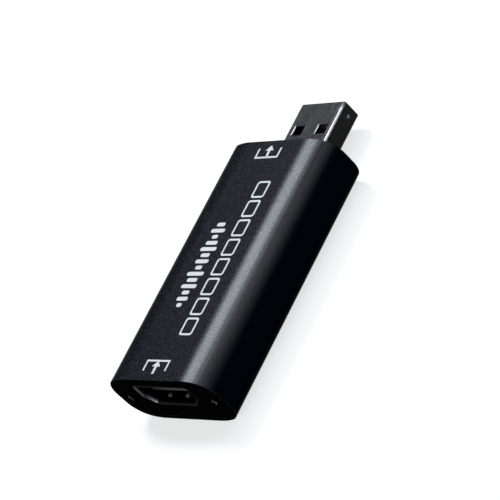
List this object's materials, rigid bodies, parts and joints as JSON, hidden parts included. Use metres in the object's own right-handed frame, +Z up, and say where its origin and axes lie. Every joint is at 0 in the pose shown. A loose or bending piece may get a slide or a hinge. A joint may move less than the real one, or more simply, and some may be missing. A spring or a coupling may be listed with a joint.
{
  "type": "video capture box",
  "caption": "Palm-sized video capture box: a round-edged metal sleeve with flush end plates, a video input socket at one end and a flat data plug at the other.",
  "frame": {"origin": "middle of the box round the whole object, on its underside", "axes": "+X right when the socket faces the viewer, +Y from the input socket to the output plug, +Z up"},
  "size_m": [0.029, 0.0686, 0.013],
  "materials": {
    "black_anodised": "sand-blasted and anodised black",
    "black_plate": "anodised black, smooth matt",
    "dark_steel": "black oxide, worn bright at the recess",
    "board_green": "glass laminate with solder mask",
    "nickel_steel": "stamped sheet, nickel plated",
    "black_moulding": "moulded, satin",
    "gold_contact": "gold flashed copper alloy",
    "chip_black": "moulded epoxy",
    "tin": "tinned, satin",
    "crystal_ceramic": "ceramic",
    "capacitor_tan": "ceramic",
    "ferrite_grey": "sintered ferrite"
  },
  "bodies": {
    "case": {"sleeve": "black_anodised", "input_plate": "black_plate", "output_plate": "black_plate", "input_screws": "dark_steel", "output_screws": "dark_steel", "main_board": "board_green", "socket_shell": "nickel_steel", "socket_insulator": "black_moulding", "socket_contacts_upper": "gold_contact", "socket_contacts_lower": "gold_contact", "plug_shell": "nickel_steel", "plug_insulator": "black_moulding", "plug_contacts": "gold_contact", "capture_chip": "chip_black", "capture_chip_leads": "tin", "memory_chip": "chip_black", "memory_chip_leads": "tin", "regulators": "chip_black", "regulator_leads": "tin", "crystal_base": "crystal_ceramic", "crystal_lid": "nickel_steel", "surge_arrays": "chip_black", "capacitors": "capacitor_tan", "resistors": "chip_black", "ferrite_beads": "ferrite_grey", "chip_ends": "tin", "leg_solder": "tin"},
    "finger_upper_left": {"finger_upper_left": "nickel_steel"},
    "finger_upper_right": {"finger_upper_right": "nickel_steel"},
    "finger_lower_left": {"finger_lower_left": "nickel_steel"},
    "finger_lower_right": {"finger_lower_right": "nickel_steel"}
  },
  "joints": [
    {"name": "finger_upper_left_flex", "type": "hinge", "parent": "case", "child": "finger_upper_left", "pos_m": [-0.00245, -0.02755, 0.01027], "axis": [-1, 0, 0], "range_deg": [0, 4], "stiffness_Nm_per_rad": 0.5},
    {"name": "finger_upper_right_flex", "type": "hinge", "parent": "case", "child": "finger_upper_right", "pos_m": [0.00245, -0.02755, 0.01027], "axis": [-1, 0, 0], "range_deg": [0, 4], "stiffness_Nm_per_rad": 0.5},
    {"name": "finger_lower_left_flex", "type": "hinge", "parent": "case", "child": "finger_lower_left", "pos_m": [-0.00245, -0.02755, 0.00532], "axis": [1, 0, 0], "range_deg": [0, 4], "stiffness_Nm_per_rad": 0.5},
    {"name": "finger_lower_right_flex", "type": "hinge", "parent": "case", "child": "finger_lower_right", "pos_m": [0.00245, -0.02755, 0.00532], "axis": [1, 0, 0], "range_deg": [0, 4], "stiffness_Nm_per_rad": 0.5}
  ]
}
